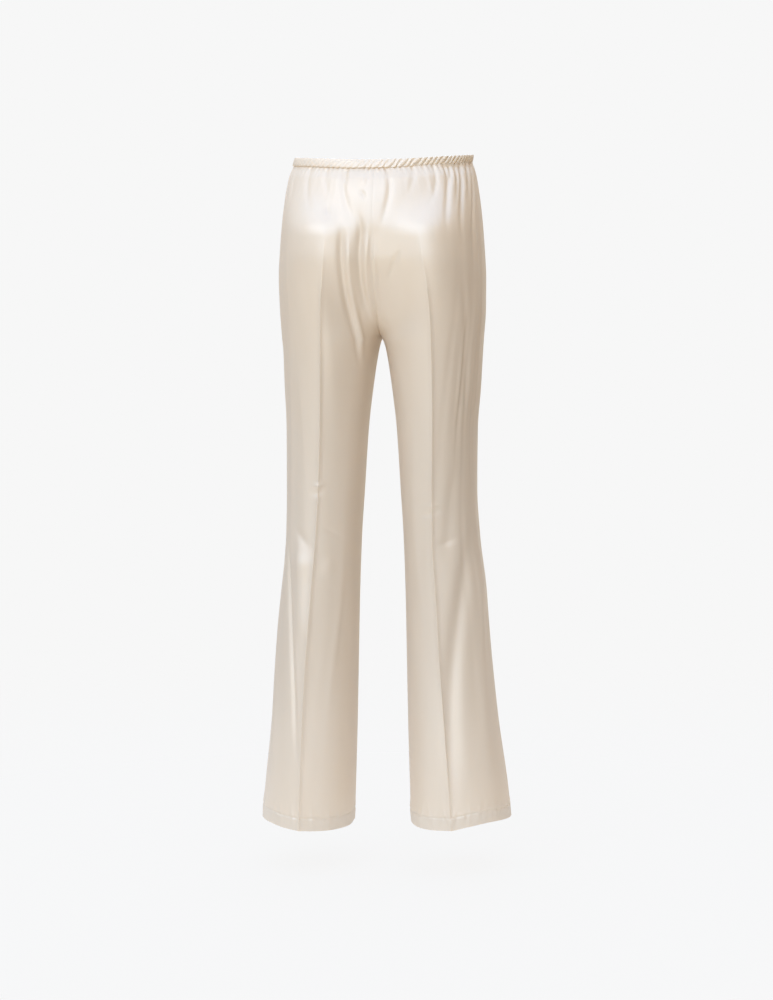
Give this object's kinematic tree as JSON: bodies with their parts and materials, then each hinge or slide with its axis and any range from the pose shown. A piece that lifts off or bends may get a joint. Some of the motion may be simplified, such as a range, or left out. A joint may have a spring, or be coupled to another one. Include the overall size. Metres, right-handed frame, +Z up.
{
  "type": "straight-leg trousers",
  "caption": "Ivory satin pull-on trousers with a narrow gathered elastic waist, pressed creases and legs that are straight to the knee and open slightly to the hem.",
  "frame": {"origin": "centre of the waist opening, halfway up the elastic casing", "axes": "+Z up the body, from the hems to the waist; +Y out of the wearer's front; +X towards the wearer's right leg, so the back of the trousers faces -Y"},
  "size_m": [0.4035, 0.2424, 1.0734],
  "materials": {
    "satin": "satin"
  },
  "bodies": {
    "root": {"back_left": "satin", "back_right": "satin", "front_left": "satin", "front_right": "satin", "waistband_back": "satin", "waistband_front": "satin", "hem_left": "satin", "hem_right": "satin"}
  },
  "joints": []
}
